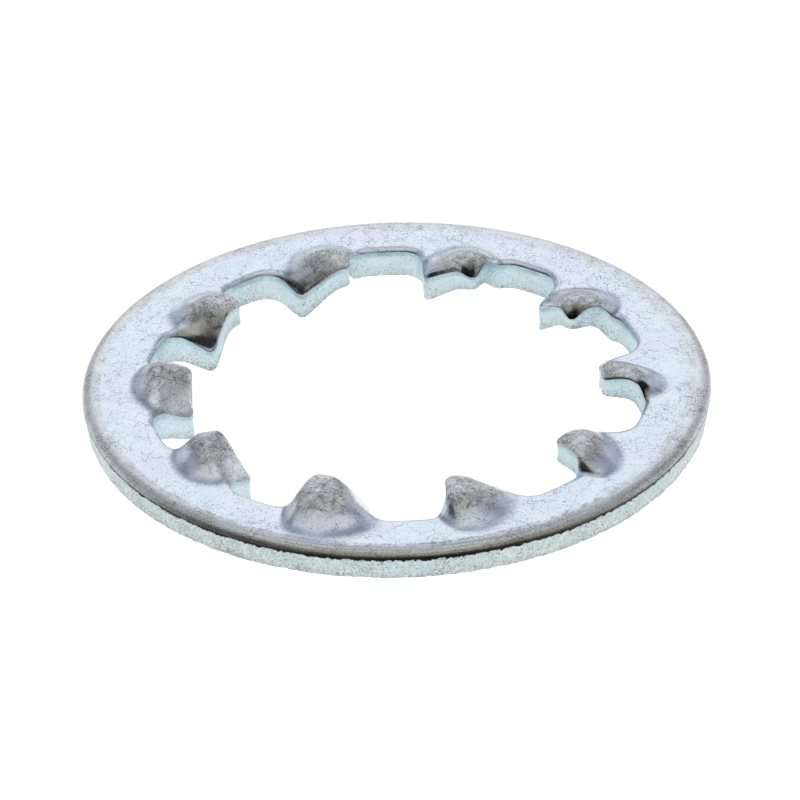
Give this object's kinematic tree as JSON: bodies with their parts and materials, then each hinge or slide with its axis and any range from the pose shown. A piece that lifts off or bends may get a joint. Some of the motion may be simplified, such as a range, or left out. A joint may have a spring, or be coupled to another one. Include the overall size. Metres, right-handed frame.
{
  "type": "internal tooth lock washer",
  "caption": "Flat ring washer whose inner border is slotted into short twisted teeth that bite into the nut and the joint to stop a bolt from working loose.",
  "frame": {"origin": "centre of the hole in the plane of the ring's bottom face", "axes": "+Z along the hole out of the top face, the side with the rolled edges; +X along the middle of a tooth"},
  "size_m": [0.0204, 0.0204, 0.002],
  "materials": {
    "zinc_plated_steel": "bright zinc plate, satin, with paler torn edges"
  },
  "bodies": {
    "root": {"washer": "zinc_plated_steel"}
  },
  "joints": []
}
